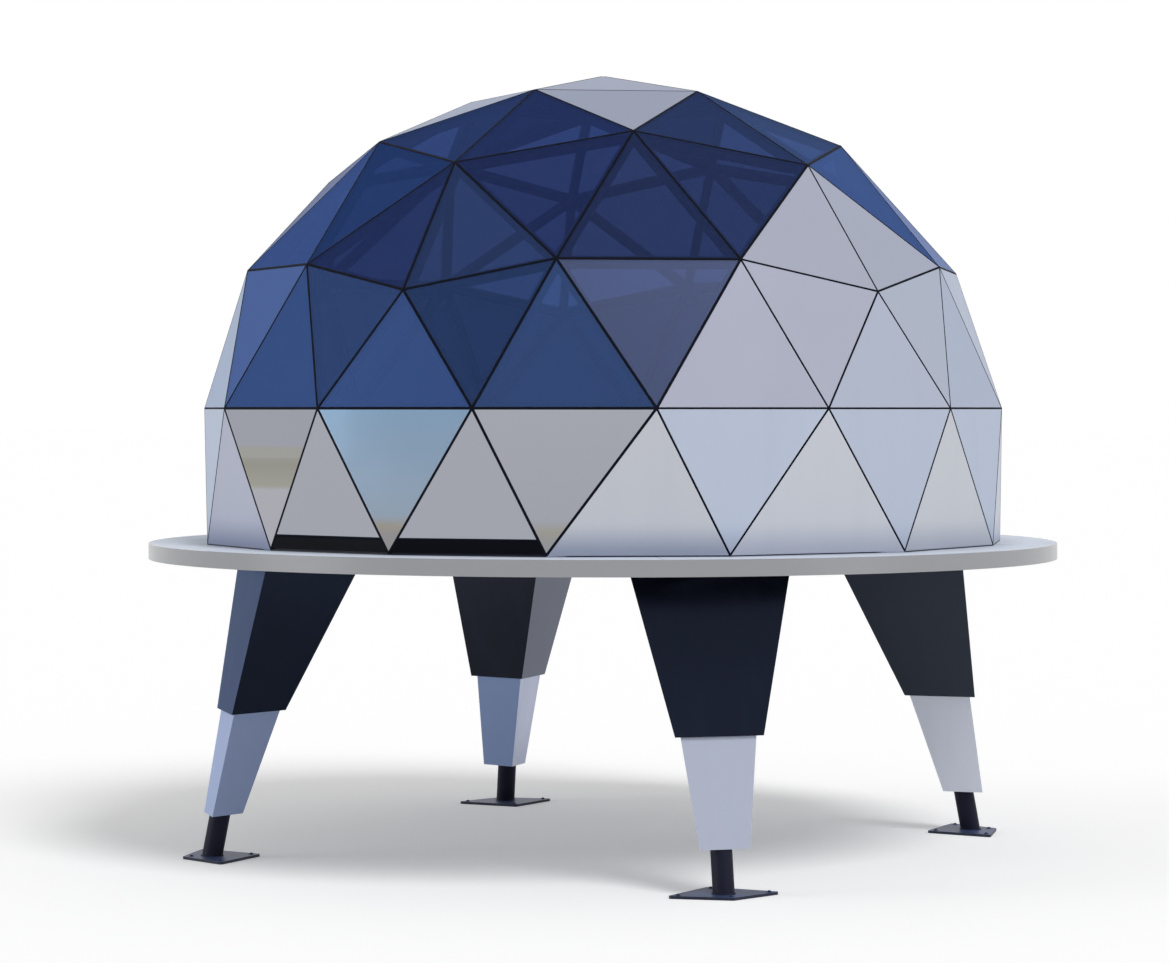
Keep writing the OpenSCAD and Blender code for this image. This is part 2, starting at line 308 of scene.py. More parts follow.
@dataclass(frozen=True)
class CoilCoatedSheet(Finish):
    """Steel sheet, roller-coated with white pearl polyester before it was cut.

    The coat is even and softly glossy, and its pearl flake turns bluer at a slant. The sheet
    is a little wavy between its frames, rain leaves faint upright streaks, and painted shade
    of the deck darkens the foot of the wall. The white is also painted with sky light and
    shade: bluer and darker where a sheet leans back, and lighter, darker or bluer by azimuth.
    """

    foot_z: float
    # Painted sky light and shade by lean: from sheets that lean out, past the foot row, the belt and the
    # peaks, to the crown
    lean_painted_light: Tones = (
        (0.04, "#ced1d9"), (0.16, "#bfc8da"), (0.36, "#b2b5c6"), (0.65, "#b3b6c6"), (0.95, "#a0a4b4"),
    )
    # Painted sky reflection and shade by azimuth, for the wall and for the sheets over the belt
    wall_painted_light: Tones = (
        (-180, "#faf9f5"), (-62, "#f8f9f3"), (-42, "#e7e6ed"), (-30, "#f1f1f1"), (84.5, "#faf9f5"),
    )
    roof_painted_light: Tones = (
        (-180, "#f9fefb"), (-62, "#e4f2fa"), (-42, "#dfe5ee"), (-30, "#f1f1f1"), (42, "#eae9e9"),
        (55, "#f1f1f1"), (84.5, "#f9fefb"),
    )
    belt_lean: float = 0.16
    streak: str = "#98a0b2"
    streak_mm: float = 190
    streak_squash: float = 0.06
    deck_shade: str = "#828ba3"
    shade_rise: float = 0.24
    shade_middle: float = -10
    shade_spread: tuple[float, float] = (50, 72)
    shade_share: tuple[float, float] = (0.75, 0.4)
    wave_mm: float = 520
    grain_mm: float = 14
    pearl: float = 0.25
    glint: str = "#7ea6e0"
    name: str = "coil_coated_steel_sheet"

    def surface(self, add: AddNode) -> Node:
        """Build the finish's nodes.

        Args:
            add: Adds a node.

        Returns:
            The finish's shader.
        """
        place = add("TexCoord").outputs["Object"]
        lean = add("SeparateXYZ", {"Vector": add("NewGeometry").outputs["Normal"]}).outputs["Z"]
        height = add("SeparateXYZ", {"Vector": place}).outputs["Z"]
        # Painted sky reflection and shade: sheets that lean back are painted bluer and darker, and those
        # that lean out paler
        share = add("MapRange", {"Value": lean, "From Min": -0.1, "From Max": 0.9})
        tone = add("ValToRGB", {"Fac": share}, stops=self.lean_painted_light)
        turn = azimuth_of(add, outward(add, place))
        # Painted sky reflection and shade by side: the white is painted lighter, darker or bluer by
        # azimuth
        wall = by_azimuth(add, turn, self.wall_painted_light)
        roof = by_azimuth(add, turn, self.roof_painted_light)
        over_belt = add("Math", {0: lean, 1: self.belt_lean}, operation="GREATER_THAN")
        painted_side_light = add("Mix", {"Factor": over_belt, "A": wall, "B": roof})
        tinted = add("Mix", {"Factor": 1.0, "A": tone, "B": painted_side_light}, blend_type="MULTIPLY")
        upright = add("Mapping", {"Vector": place, "Scale": (1.0, 1.0, self.streak_squash)})
        streaks = add("TexNoise", {"Vector": upright, "Scale": per_metre(self.streak_mm), "Detail": 3.0})
        marked = add("MapRange", {"Value": streaks, "From Min": 0.5, "From Max": 0.8, "To Max": 0.08})
        rained = add("Mix", {"Factor": marked, "A": tinted, "B": self.streak})
        # The deck's shade is weaker at the sides, where more light comes in
        shifted = add("Math", {0: turn, 1: -math.radians(self.shade_middle)}, operation="ADD")
        off_middle = add("Math", {0: shifted}, operation="ABSOLUTE")
        depth = add("MapRange", {
            "Value": off_middle, "From Min": math.radians(self.shade_spread[0]),
            "From Max": math.radians(self.shade_spread[1]), "To Min": self.shade_share[0],
            "To Max": self.shade_share[1],
        })
        top = self.foot_z + self.shade_rise
        low = add(
            "MapRange", {"Value": height, "From Min": top, "From Max": self.foot_z, "To Max": depth},
            interpolation_type="SMOOTHSTEP",
        )
        shaded = add("Mix", {"Factor": low, "A": rained, "B": self.deck_shade})
        waves = add("TexNoise", {"Vector": place, "Scale": per_metre(self.wave_mm), "Detail": 1.0})
        grain = add("TexNoise", {"Vector": place, "Scale": per_metre(self.grain_mm), "Detail": 2.0})
        gloss = add("MapRange", {"Value": waves, "To Min": 0.29, "To Max": 0.36})
        wavy = add("Bump", {"Height": waves, "Strength": 0.3, "Distance": 0.002})
        peel = add("Bump", {"Height": grain, "Normal": wavy, "Strength": 0.12, "Distance": 0.0004})
        return add("BsdfPrincipled", {
            "Base Color": shaded, "Metallic": self.pearl, "Roughness": gloss, "Normal": peel,
            "IOR": 1.5, "Specular IOR Level": 0.2, "Specular Tint": self.glint,
        })


@dataclass(frozen=True)
class SolarControlGlass(Finish):
    """Blue body-tinted float glass, with a thin blue metal-oxide coat against the sun.

    It is deep blue, and lets the frames behind it show as darker bands. The coat reflects
    more, and bluer, at a slant. Its colour also holds painted reflection and shade: each pane
    is painted lighter, darker or bluer by the way it faces, and the belt's panes darker where
    they lean far back. Slight roller waves bend its reflections, and dust dulls it.
    """

    name: str
    painted_pane_light: Tones
    passed: str
    metal: float
    gloss: tuple[float, float]
    solid_ahead: float = 0.3
    solid_aslant: float = 0.62
    back_lean: float = 0.3
    back_shade: str = "#ffffff"
    dust: str = "#6d7c9c"
    dust_mm: float = 40
    wave_mm: float = 420
    glint: str = "#b8d4ff"

    def surface(self, add: AddNode) -> Node:
        """Build the finish's nodes.

        Args:
            add: Adds a node.

        Returns:
            The finish's shader.
        """
        place = add("TexCoord").outputs["Object"]
        clouds = add("TexNoise", {"Vector": place, "Scale": per_metre(self.wave_mm), "Detail": 1.0})
        specks = add("TexNoise", {"Vector": place, "Scale": per_metre(self.dust_mm), "Detail": 3.0})
        dusty = add("MapRange", {"Value": specks, "From Min": 0.45, "From Max": 0.85, "To Max": 0.12})
        # Painted reflection and shade: each pane's coat is painted a tone by the way it faces, and a
        # little darker where it leans far back
        way = outward(add, place)
        tone = by_azimuth(add, azimuth_of(add, way), self.painted_pane_light)
        up = add("SeparateXYZ", {"Vector": way}).outputs["Z"]
        leaning = add("Math", {0: up, 1: self.back_lean}, operation="GREATER_THAN")
        coat = add("Mix", {"Factor": leaning, "A": tone, "B": self.back_shade}, blend_type="MULTIPLY")
        coated = add("Mix", {"Factor": dusty, "A": coat, "B": self.dust})
        dull = add("MapRange", {"Value": specks, "To Min": self.gloss[0], "To Max": self.gloss[1]})
        waves = add("Bump", {"Height": clouds, "Strength": 0.3, "Distance": 0.003})
        solid = add("BsdfPrincipled", {
            "Base Color": coated, "Metallic": self.metal, "Roughness": dull, "Normal": waves,
            "Specular IOR Level": 0.0, "Specular Tint": self.glint,
        })
        clear = add("BsdfTransparent", {"Color": self.passed})
        slant = add("LayerWeight", {"Blend": 0.5}).outputs["Facing"]
        share = add("MapRange", {"Value": slant, "To Min": self.solid_ahead, "To Max": self.solid_aslant})
        return add("MixShader", {0: share, 1: clear, 2: solid})


@dataclass(frozen=True)
class MirrorCoatedGlass(Finish):
    """Glass with a grey metal-oxide mirror coat, sputtered on its outer face.

    It gives soft grey mirror images, and a reflection is also painted into its colour: the
    middle pane that leans back is painted bluer, like the sky, its neighbours greyer with a
    browner band, like the horizon, and all three browner toward their foot, like the ground.
    Heights in a pane are shares of the wall's height.
    """

    foot_z: float
    wall: float
    upright: str = "#a2a5ae"
    # Painted reflection by height in each pane: sky, horizon band and ground
    left: Tones = (
        (0.42, "#a8a8b0"), (0.45, "#9a9990"), (0.60, "#908f86"), (0.64, "#94938c"), (0.65, "#9a9a97"),
        (0.72, "#999995"), (0.73, "#989ba5"),
    )
    middle: Tones = (
        (0.13, "#8c8a8b"), (0.19, "#928f86"), (0.26, "#8b99a9"), (0.55, "#8699ae"), (1.0, "#7c96b0"),
    )
    right: Tones = ((0.08, "#929396"), (0.16, "#99978f"), (0.24, "#9fa1ab"), (1.0, "#a4a6af"))
    pane_deg: float = 24
    wander: float = 0.03
    wave_mm: float = 600
    name: str = "mirror_coated_glass"

    def surface(self, add: AddNode) -> Node:
        """Build the finish's nodes.

        Args:
            add: Adds a node.

        Returns:
            The finish's shader.
        """
        place = add("TexCoord").outputs["Object"]
        lean = add("SeparateXYZ", {"Vector": add("NewGeometry").outputs["Normal"]}).outputs["Z"]
        height = add("SeparateXYZ", {"Vector": place}).outputs["Z"]
        drift = add("TexNoise", {"Vector": place, "Scale": per_metre(self.wave_mm), "Detail": 2.0})
        level = add(
            "MapRange",
            {"Value": height, "From Min": self.foot_z, "From Max": self.foot_z + self.wall},
        )
        # The edges of the bands wander a little, up and down alike
        raised = add("Math", {0: drift, 1: self.wander, 2: level}, operation="MULTIPLY_ADD")
        shade = add("Math", {0: raised, 1: self.wander / 2}, operation="SUBTRACT")
        # Painted reflection: one banded ramp of sky, horizon and ground for each of the three panes
        panes = [
            add("ValToRGB", {"Fac": shade}, stops=tones)
            for tones in (self.left, self.middle, self.right)
        ]
        # The middle pane stands in front, and the other two on each side of it
        starts = (-180, -self.pane_deg / 2, self.pane_deg / 2)
        colour = by_azimuth(add, azimuth_of(add, place), list(zip(starts, panes, strict=True)))
        leans_back = add("Math", {0: lean, 1: 0.0}, operation="GREATER_THAN")
        toned = add("Mix", {"Factor": leans_back, "A": self.upright, "B": colour})
        waves = add("Bump", {"Height": drift, "Strength": 0.3, "Distance": 0.003})
        gloss = add("MapRange", {"Value": drift, "To Min": 0.04, "To Max": 0.12})
        return add(
            "BsdfPrincipled",
            {"Base Color": toned, "Metallic": 0.85, "Roughness": gloss, "Normal": waves},
        )


@dataclass(frozen=True)
class PowderCoat(Finish):
    """Steel or aluminium, sprayed with polyester powder and baked.

    The coat has a fine orange peel and a satin gloss, and dust lies on what faces up; on the
    rim and the base plates that top colour is also painted light. The peel is drawn coarser
    than it is, so that it shows.
    """

    name: str
    coat: str
    dust: str
    dusty: float = 0.35
    satin: tuple[float, float] = (0.38, 0.52)
    sheen_level: float = 0.25
    peel_mm: float = 9
    dust_mm: float = 160

    def surface(self, add: AddNode) -> Node:
        """Build the finish's nodes.

        Args:
            add: Adds a node.

        Returns:
            The finish's shader.
        """
        place = add("TexCoord").outputs["Object"]
        up = add("SeparateXYZ", {"Vector": add("NewGeometry").outputs["Normal"]}).outputs["Z"]
        drifts = add("TexNoise", {"Vector": place, "Scale": per_metre(self.dust_mm), "Detail": 5.0})
        lying = add("MapRange", {"Value": up, "From Min": 0.1, "From Max": 1.0, "To Max": self.dusty})
        patchy = add("MapRange", {"Value": drifts, "From Min": 0.3, "From Max": 0.7, "To Min": 0.15})
        share = add("Math", {0: lying, 1: patchy}, operation="MULTIPLY")
        colour = add("Mix", {"Factor": share, "A": self.coat, "B": self.dust})
        peel = add("TexNoise", {"Vector": place, "Scale": per_metre(self.peel_mm), "Detail": 2.0})
        relief = add("Bump", {"Height": peel, "Strength": 0.25, "Distance": 0.0005})
        gloss = add("MapRange", {"Value": drifts, "To Min": self.satin[0], "To Max": self.satin[1]})
        return add("BsdfPrincipled", {
            "Base Color": colour, "Roughness": gloss, "Normal": relief, "IOR": 1.5,
            "Specular IOR Level": self.sheen_level,
        })


@dataclass(frozen=True)
class LacqueredCladding(Finish):
    """Folded aluminium sheet, wet-lacquered to a high gloss, some of it with metal flake.

    The gloss shows soft images of what stands round it, and the flake tints them where a
    dark face is seen at a slant. The sheet is slightly wavy, with faint upright rain marks.
    """

    name: str
    lacquer: str
    mark: str
    glint: str
    gloss: tuple[float, float]
    sheen_level: float
    flake: float = 0.0
    painted_right_light: str = ""
    wave_mm: float = 420
    mark_mm: float = 110
    mark_squash: float = 0.08

    def surface(self, add: AddNode) -> Node:
        """Build the finish's nodes.

        Args:
            add: Adds a node.

        Returns:
            The finish's shader.
        """
        place = add("TexCoord").outputs["Object"]
        upright = add("Mapping", {"Vector": place, "Scale": (1.0, 1.0, self.mark_squash)})
        rain = add("TexNoise", {"Vector": upright, "Scale": per_metre(self.mark_mm), "Detail": 1.0})
        marked = add("MapRange", {"Value": rain, "From Min": 0.5, "From Max": 0.85, "To Max": 0.14})
        # Painted light: a sheet that faces right may be painted a lighter tone than the rest, as if lit
        # from that side
        right = add("SeparateXYZ", {"Vector": add("NewGeometry").outputs["Normal"]}).outputs["X"]
        turned = add("MapRange", {"Value": right, "From Min": 0.4, "From Max": 0.7})
        other = self.painted_right_light or self.lacquer
        toned = add("Mix", {"Factor": turned, "A": self.lacquer, "B": other})
        colour = add("Mix", {"Factor": marked, "A": toned, "B": self.mark})
        waves = add("TexNoise", {"Vector": place, "Scale": per_metre(self.wave_mm), "Detail": 1.0})
        wavy = add("Bump", {"Height": waves, "Strength": 0.4, "Distance": 0.002})
        shine = add("MapRange", {"Value": rain, "To Min": self.gloss[0], "To Max": self.gloss[1]})
        return add("BsdfPrincipled", {
            "Base Color": colour, "Metallic": self.flake, "Roughness": shine, "Normal": wavy,
            "IOR": 1.5, "Specular IOR Level": self.sheen_level, "Specular Tint": self.glint,
        })


@dataclass(frozen=True)
class DeckSheet(Finish):
    """Phenolic-faced deck sheet with a pressed non-slip grain, cut to meet on radial lines.

    It is pale and matt, with fine dark joints, a fine grain and dirt that gathers against
    the foot of the wall. The grain is drawn coarser than it is, so that it shows.
    """

    wall_r: float
    sheet: str = "#d3dbe8"
    sheets: int = 15
    joint: str = "#4c505a"
    joint_mm: float = 5
    dirt: str = "#7e8290"
    dirt_reach: float = 0.22
    dirt_mm: float = 240
    grain_mm: float = 16
    name: str = "phenolic_faced_deck_sheet"

    def surface(self, add: AddNode) -> Node:
        """Build the finish's nodes.

        Args:
            add: Adds a node.

        Returns:
            The finish's shader.
        """
        place = add("TexCoord").outputs["Object"]
        spot = add("SeparateXYZ", {"Vector": place}).outputs
        level = add("CombineXYZ", {"X": spot["X"], "Y": spot["Y"]})
        reach = add("VectorMath", {0: level}, operation="LENGTH")
        turn = add("Math", {0: spot["X"], 1: spot["Y"]}, operation="ARCTAN2")
        # How far round from the nearest joint, and then how far in metres
        pitch = 2 * math.pi / self.sheets
        round_off = add("Math", {0: turn, 1: pitch / 2}, operation="PINGPONG")
        away = add("Math", {0: round_off, 1: reach}, operation="MULTIPLY")
        half_joint = self.joint_mm / 2 / MM_PER_METRE
        in_joint = add("Math", {0: away, 1: half_joint}, operation="LESS_THAN")
        edge = self.wall_r + self.dirt_reach
        grime = add(
            "MapRange", {"Value": reach, "From Min": edge, "From Max": self.wall_r, "To Max": 0.6},
            interpolation_type="SMOOTHSTEP",
        )
        clouds = add("TexNoise", {"Vector": place, "Scale": per_metre(self.dirt_mm), "Detail": 5.0})
        patchy = add("Math", {0: grime, 1: clouds}, operation="MULTIPLY")
        dirty = add("Mix", {"Factor": patchy, "A": self.sheet, "B": self.dirt})
        colour = add("Mix", {"Factor": in_joint, "A": dirty, "B": self.joint})
        grain = add("TexVoronoi", {"Vector": place, "Scale": per_metre(self.grain_mm)})
        relief = add("Bump", {"Height": grain, "Strength": 0.3, "Distance": 0.0008})
        matt = add("MapRange", {"Value": clouds, "To Min": 0.5, "To Max": 0.7})
        return add(
            "BsdfPrincipled",
            {"Base Color": colour, "Roughness": matt, "Normal": relief, "IOR": 1.5},
        )


@dataclass(frozen=True)
class ExtrudedRubber(Finish):
    """Black rubber seal, extruded and pressed into its joint.

    It is matt near-black, and chalks a little greyer in patches with age.
    """

    rubber: str = "#0b0e18"
    chalk: str = "#181d2c"
    chalk_mm: float = 90
    name: str = "extruded_rubber"

    def surface(self, add: AddNode) -> Node:
        """Build the finish's nodes.

        Args:
            add: Adds a node.

        Returns:
            The finish's shader.
        """
        place = add("TexCoord").outputs["Object"]
        age = add("TexNoise", {"Vector": place, "Scale": per_metre(self.chalk_mm), "Detail": 3.0})
        chalky = add("MapRange", {"Value": age, "From Min": 0.45, "From Max": 0.8, "To Max": 0.4})
        colour = add("Mix", {"Factor": chalky, "A": self.rubber, "B": self.chalk})
        matt = add("MapRange", {"Value": age, "To Min": 0.55, "To Max": 0.8})
        return add(
            "BsdfPrincipled",
            {"Base Color": colour, "Roughness": matt, "Specular IOR Level": 0.05},
        )


@dataclass(frozen=True)
class StudioPaper(Finish):
    """Matt pale paper, which the eye and gloss see whiter than the light that it throws back."""

    light: float = 0.85
    seen: float = 0.97
    lift: float = 0.17
    name: str = "studio_paper"

    def surface(self, add: AddNode) -> Node:
        """Build the finish's nodes.

        Args:
            add: Adds a node.

        Returns:
            The finish's shader.
        """
        seen = seen_rays(add)
        shade = add("MapRange", {"Value": seen, "To Min": self.light, "To Max": self.seen})
        matt = add("BsdfDiffuse", {"Color": shade})
        lift = add("Math", {0: seen, 1: self.lift}, operation="MULTIPLY")
        glow = add("Emission", {"Strength": lift})
        return add("AddShader", {0: matt, 1: glow})


# ---- Geometry Nodes ----

# The pieces of an anchor bolt from the plate up, each with the sides of its outline
BOLT_SIDES = {"Washer": 20, "Nut": 6, "Stud": 12}


def start_tree(name: str, sizes: Mapping[str, str]) -> Tree:
    """Start a tree that builds on the geometry it is given.

    Args:
        name: Name of the tree.
        sizes: Name of each size that the tree takes to its type.

    Returns:
        The tree, with its inputs and its output.
    """
    tree = bpy.data.node_groups.new(name, "GeometryNodeTree")
    for label, kind in {"Geometry": "Geometry", **sizes}.items():
        tree.interface.new_socket(label, in_out="INPUT", socket_type=f"NodeSocket{kind}")
    tree.interface.new_socket("Geometry", in_out="OUTPUT", socket_type="NodeSocketGeometry")
    return tree


def end_tree(add: AddNode, shape: Feed, material: bpy.types.Material) -> None:
    """End a tree in real geometry that wears its material.

    Args:
        add: Adds a node.
        shape: What the geometry comes from.
        material: Material of the piece.
    """
    real = add("GeometryNodeRealizeInstances", {"Geometry": shape})
    dressed = add("GeometryNodeSetMaterial", {"Geometry": real, "Material": material})
    add("NodeGroupOutput", {"Geometry": dressed})


def sweep_tree(name: str, material: bpy.types.Material) -> Tree:
    """Build the tree that runs a small profile along edges, its back toward a centre.

    Args:
        name: Name of the tree.
        material: Material of the swept piece.

    Returns:
        A tree whose inputs are Half Width, Half Height, Sides, Turn and Centre.
    """
    sizes = {"Half Width": "Float", "Half Height": "Float", "Sides": "Int", "Turn": "Float"}
    tree = start_tree(name, {**sizes, "Centre": "Vector"})
    add = partial(add_node, tree)
    given = add("NodeGroupInput").outputs
    where = add("GeometryNodeInputPosition")
    out = add("VectorMath", {0: where, 1: given["Centre"]}, operation="SUBTRACT")
    path = add("GeometryNodeMeshToCurve", {"Mesh": given["Geometry"]})
    facing = add("GeometryNodeSetCurveNormal", {"Curve": path, "Normal": out}, mode="FREE")
    outline = {"Resolution": given["Sides"], "Radius": 1.0}
    ring = add("GeometryNodeCurvePrimitiveCircle", outline, mode="RADIUS")
    spin = add("CombineXYZ", {"Z": given["Turn"]})
    turned = add("GeometryNodeTransform", {"Geometry": ring, "Rotation": spin})
    size = add("CombineXYZ", {"X": given["Half Height"], "Y": given["Half Width"], "Z": 1.0})
    profile = add("GeometryNodeTransform", {"Geometry": turned, "Scale": size})
    swept = add("GeometryNodeCurveToMesh", {"Curve": facing, "Profile Curve": profile, "Fill Caps": True})
    end_tree(add, swept, material)
    return tree


def bolt_tree(name: str, material: bpy.types.Material) -> Tree:
    """Build the tree that sets an anchor bolt, with its nut and washer, on each point.

    Args:
        name: Name of the tree.
        material: Material of the bolts.

    Returns:
        A tree whose inputs are a Radius and a Height for the Washer, the Nut and the Stud.
    """
    ways = ("Radius", "Height")
    tree = start_tree(name, {f"{piece} {way}": "Float" for piece in BOLT_SIDES for way in ways})
    add = partial(add_node, tree)
    given = add("NodeGroupInput").outputs
    joined = add("GeometryNodeJoinGeometry")
    base: Feed | float = 0.0
    for piece, sides in BOLT_SIDES.items():
        radius, height = (given[f"{piece} {way}"] for way in ways)
        solid = add("GeometryNodeMeshCylinder", {"Vertices": sides, "Radius": radius, "Depth": height})
        middle = add("Math", {0: height, 1: 0.5, 2: base}, operation="MULTIPLY_ADD")
        lift = add("CombineXYZ", {"Z": middle})
        placed = add("GeometryNodeTransform", {"Geometry": solid, "Translation": lift})
        tree.links.new(placed.outputs["Geometry"], joined.inputs["Geometry"])
        base = add("Math", {0: height, 1: base}, operation="ADD")
    spread = add("GeometryNodeInstanceOnPoints", {"Points": given["Geometry"], "Instance": joined})
    end_tree(add, spread, material)
    return tree


# ---- Sub-assemblies ----


class Skin(Enum):
    """What closes a facet of the dome."""

    SHEET = "sheet"
    GLASS = "glass"


@dataclass(frozen=True)
class Seal:
    """The rounded section of a joint's gasket, and how deep its middle lies."""

    half_width: float
    half_height: float
    depth: float
    sides: int = 10


@dataclass
class Dome:
    """The faceted shell, with the seals in its joints and the flashing at its foot.

    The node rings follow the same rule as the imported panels: each is a share of the dome's
    radius and rise, so that the seals lie in the joints. Reaches are angles from the front
    to the middle of a facet, in steps of the belt ring.
    """

    deck_z: float
    radius: float = 3.0
    rise: float = 2.505
    wall: float = 0.99
    sill: float = 0.1
    sole: float = 0.01
    hub_share: float = 0.45
    ring1: tuple[float, float] = (0.340, 0.928)
    star: tuple[float, float] = (0.602, 0.780)
    ridge: tuple[float, float] = (0.713, 0.690)
    side: tuple[float, float] = (0.893, 0.407)
    brow: tuple[float, float] = (0.938, 0.325)
    side_turn: float = 22.3
    foot_shift: tuple[float, ...] = (-2.2, -2.3, 1.4, 4.0)
    sectors: int = 5
    peak_reach: tuple[float, float] = (2.4, 3.6)
    belt_glass_reach: float = 1.75
    mirror_reach: float = 1.25
    glass_seal: Seal = Seal(half_width=0.0112, half_height=0.0045, depth=0.003)
    sheet_seal: Seal = Seal(half_width=0.0092, half_height=0.0045, depth=0.0032)
    crown_gap: float = 0.022
    seal_lap: float = 0.001
    flashing_half: tuple[float, float] = (0.0012, 0.0105)

    @property
    def foot_z(self) -> float:
        """Height of the shell's foot."""
        return self.deck_z + self.sole

    @property
    def belt_z(self) -> float:
        """Height of the belt ring."""
        return self.foot_z + self.wall

    @property
    def hub(self) -> Vector:
        """The point that the joints' sides aim at."""
        return Vector((0.0, 0.0, self.foot_z + self.hub_share * self.wall))

    @property
    def step(self) -> float:
        """Azimuth between two nodes of the belt ring."""
        return 360 / (3 * self.sectors)

    def shell(self, share: tuple[float, float], azimuth: float) -> Vector:
        """Return the node at these shares of the radius and the rise."""
        return at(share[0] * self.radius, self.belt_z + share[1] * self.rise, azimuth)

    def ring_1(self, k: int) -> Vector:
        """Return node k of the ring below the crown."""
        return self.shell(self.ring1, 360 / self.sectors * k)

    def ring_2(self, k: int) -> Vector:
        """Return node k of the second ring, by turns a ridge node and a star point."""
        return self.shell(self.star if k % 2 else self.ridge, 180 / self.sectors * k)

    def ring_3(self, k: int) -> Vector:
        """Place a node of the third ring: a brow node and two side nodes by turns.

        Args:
            k: Number of the node, counted round from the front.

        Returns:
            The node.
        """
        sector = 360 / self.sectors
        turn = k // 3 * sector
        if k % 3 == 0:
            return self.shell(self.brow, turn)
        shift = self.side_turn if k % 3 == 1 else sector - self.side_turn
        return self.shell(self.side, turn + shift)

    def ring_4(self, k: int) -> Vector:
        """Return node k of the belt ring."""
        return at(self.radius, self.belt_z, self.step * (k + 0.5))

    def ring_5(self, k: int) -> Vector:
        """Place a node of the foot ring, some of which stand off an even spacing.

        Args:
            k: Number of the node, counted round from the front.

        Returns:
            The node.
        """
        half = 3 * self.sectors // 2
        turns = (k + half) % (3 * self.sectors) - half
        away = abs(turns)
        shift = self.foot_shift[away - 1] if 0 < away <= len(self.foot_shift) else 0.0
        side = 1 if turns > 0 else -1
        return at(self.radius, self.foot_z, self.step * k + side * shift)

    def reach(self, facet: Facet) -> float:
        """Return how far a facet's middle lies from the front, in steps of the belt ring."""
        middle = (facet[0] + facet[1] + facet[2]) / 3
        return abs(math.degrees(math.atan2(middle.x, -middle.y))) / self.step

    def skinned(self) -> list[tuple[Facet, Skin]]:
        """List every facet with what closes it.

        Returns:
            The corners and the skin of each facet, from the crown down.
        """
        found: list[tuple[Facet, Skin]] = []
        crown = self.shell((0.0, 1.0), 0.0)
        for k in range(self.sectors):
            a, b = self.ring_1(k), self.ring_1(k + 1)
            ridge, point, last = (self.ring_2(2 * k + i) for i in range(3))
            brow, left, right, end = (self.ring_3(3 * k + i) for i in range(4))
            found += [(facet, Skin.SHEET) for facet in ((crown, a, b), (a, point, b))]
            glazed = [(a, ridge, point), (b, point, last)]
            glazed += [(ridge, left, point), (point, left, right), (point, right, last)]
            found += [(facet, Skin.GLASS) for facet in glazed]
            for facet in ((ridge, brow, left), (last, right, end)):
                peak = self.peak_reach[0] <= self.reach(facet) < self.peak_reach[1]
                found.append((facet, Skin.SHEET if peak else Skin.GLASS))
        for k in range(3 * self.sectors):
            over, belt, foot = (
                (ring(k), ring(k + 1)) for ring in (self.ring_3, self.ring_4, self.ring_5)
            )
            upper = ((over[0], belt[0], over[1]), (belt[0], belt[1], over[1]))
            lower = ((foot[0], foot[1], belt[0]), (belt[0], foot[1], belt[1]))
            for row, limit in ((upper, self.belt_glass_reach), (lower, self.mirror_reach)):
                for facet in row:
                    found.append((facet, Skin.GLASS if self.reach(facet) < limit else Skin.SHEET))
        return found

    def joints(self) -> dict[tuple[tuple[float, ...], ...], list[Skin]]:
        """Gather the facets' edges, each with the skins that meet there.

        Returns:
            The edge's two ends, rounded to a tenth of a millimetre, to its skins.
        """
        met: dict[tuple[tuple[float, ...], ...], list[Skin]] = {}
        for facet, skin in self.skinned():
            for i in range(3):
                ends = (facet[i], facet[(i + 1) % 3])
                key = tuple(sorted(tuple(round(c, 4) for c in p) for p in ends))
                met.setdefault(key, []).append(skin)
        return met

    def sill_joints(self) -> list[Edge]:
        """List the level joints between the sills and the mirror panes over them.

        Returns:
            The two ends of each joint.
        """
        share = self.sill / self.wall
        found: list[Edge] = []
        for k in range(3 * self.sectors):
            left, right, top = self.ring_5(k), self.ring_5(k + 1), self.ring_4(k)
            if self.reach((left, right, top)) < self.mirror_reach:
                found.append((left.lerp(top, share), right.lerp(top, share)))
        return found

    def seal_end(self, node: Sequence[float], other: Sequence[float], depth: float) -> Vector:
        """Place a seal's end: a little past its node, or short of it at the crown.

        Args:
            node: The node at this end of the joint.
            other: The node at its other end.
            depth: How far the seal's middle lies under the shell, toward the hub.

        Returns:
            The end, so that the seals overlap at a node and none stands over the top.
        """
        point = Vector(node)
        along = (Vector(other) - point).normalized()
        at_crown = point.xy.length < self.crown_gap
        end = point + along * (self.crown_gap if at_crown else -self.seal_lap)
        out = end - self.hub
        return self.hub + out * (1 - depth / out.length)

    def build_seals(self, rubber: ExtrudedRubber) -> None:
        """Lay a rubber gasket in each joint, lapped over the edges of what it seals.

        Args:
            rubber: The finish of the seals.
        """
        tree = sweep_tree("joint_bead", rubber.material())
        for name, seal, on_glass in (
            ("glass_joint_seals", self.glass_seal, True),
            ("sheet_joint_seals", self.sheet_seal, False),
        ):
            lines = [
                ends
                for ends, skins in self.joints().items()
                if len(skins) == 2 and (Skin.GLASS in skins) is on_glass
            ]
            if on_glass:
                lines += self.sill_joints()
            rows = [(self.seal_end(a, b, seal.depth), self.seal_end(b, a, seal.depth)) for a, b in lines]
            sizes = {
                "Half Width": seal.half_width, "Half Height": seal.half_height, "Sides": seal.sides,
                "Turn": 0.0, "Centre": self.hub,
            }
            build_trim(name, rows, tree, sizes)

